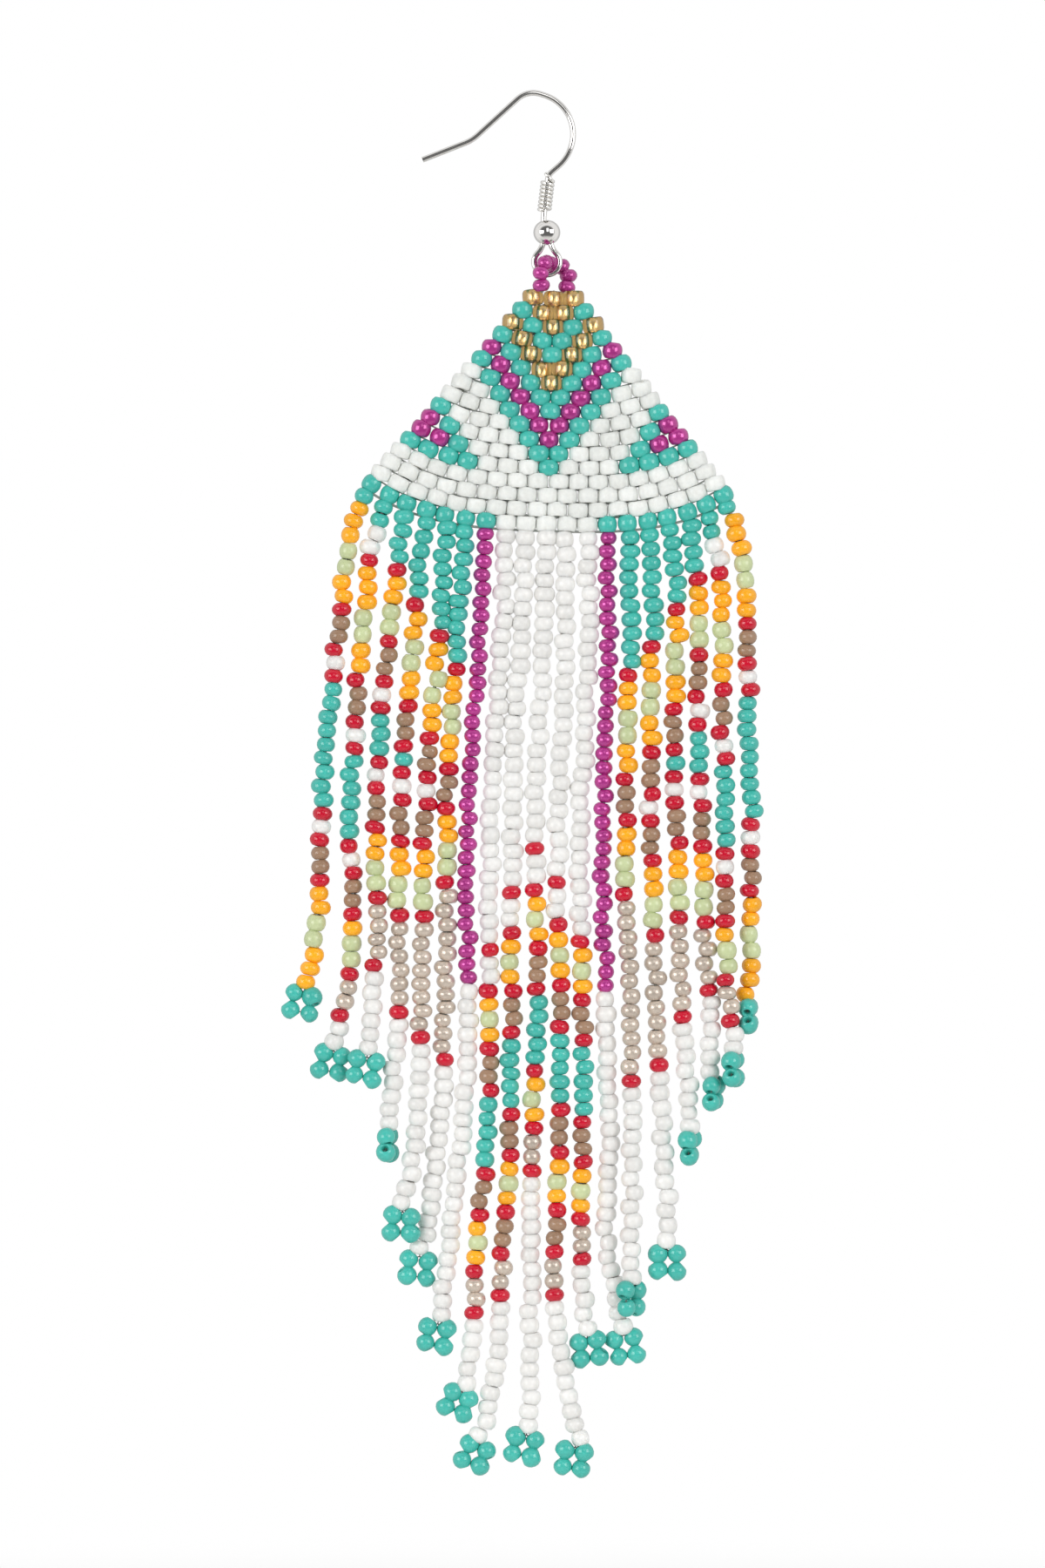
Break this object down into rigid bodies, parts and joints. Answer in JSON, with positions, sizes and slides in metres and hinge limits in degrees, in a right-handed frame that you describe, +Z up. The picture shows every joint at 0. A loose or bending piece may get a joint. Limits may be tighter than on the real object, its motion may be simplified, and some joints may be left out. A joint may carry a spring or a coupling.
{
  "type": "beaded fringe earring",
  "caption": "Drop earring on a bent ear wire: a woven triangle of seed beads with a long tapered fringe of beaded strings.",
  "frame": {"origin": "underside of the ear wire's crown, where the earring hangs in the ear", "axes": "+Z up; +X along the bead triangle to the wearer's left, as the front view shows it to the right; -Y towards the one who looks at the front"},
  "size_m": [0.0531, 0.0064, 0.1542],
  "materials": {
    "hook_wire": "bright drawn silver-coloured wire",
    "coil_wire": "bright fine silver-coloured wire",
    "hook_ball": "polished silver-coloured ball",
    "purple_beads": "opaque glossy purple glass seed beads",
    "panel_beads": "opaque glossy glass seed beads, mostly off-white",
    "string_beads": "opaque and pearly glass seed beads in bands of colour",
    "turquoise_beads": "opaque glossy turquoise glass seed beads"
  },
  "bodies": {
    "hook": {"ear_wire": "hook_wire", "ear_coil": "coil_wire", "ear_ball": "hook_ball"},
    "drop": {"hanging_loop": "purple_beads", "bead_panel": "panel_beads", "strand_01": "string_beads", "strand_02": "string_beads", "strand_03": "string_beads", "strand_04": "string_beads", "strand_05": "string_beads", "strand_06": "string_beads", "strand_07": "string_beads", "strand_08": "string_beads", "strand_09": "string_beads", "strand_10": "string_beads", "strand_11": "string_beads", "strand_12": "string_beads", "strand_13": "string_beads", "strand_14": "string_beads", "strand_15": "string_beads", "strand_16": "string_beads", "strand_17": "string_beads", "strand_18": "string_beads", "strand_19": "string_beads", "picot_01": "turquoise_beads", "picot_02": "turquoise_beads", "picot_03": "turquoise_beads", "picot_04": "turquoise_beads", "picot_05": "turquoise_beads", "picot_06": "turquoise_beads", "picot_07": "turquoise_beads", "picot_08": "turquoise_beads", "picot_09": "turquoise_beads", "picot_10": "turquoise_beads", "picot_11": "turquoise_beads", "picot_12": "turquoise_beads", "picot_13": "turquoise_beads", "picot_14": "turquoise_beads", "picot_15": "turquoise_beads", "picot_16": "turquoise_beads", "picot_17": "turquoise_beads", "picot_18": "turquoise_beads", "picot_19": "turquoise_beads"}
  },
  "joints": [
    {"name": "drop_swing", "type": "hinge", "parent": "hook", "child": "drop", "pos_m": [0.00152, 0, -0.0199], "axis": [1, 0, 0], "range_deg": [-25, 25]}
  ]
}
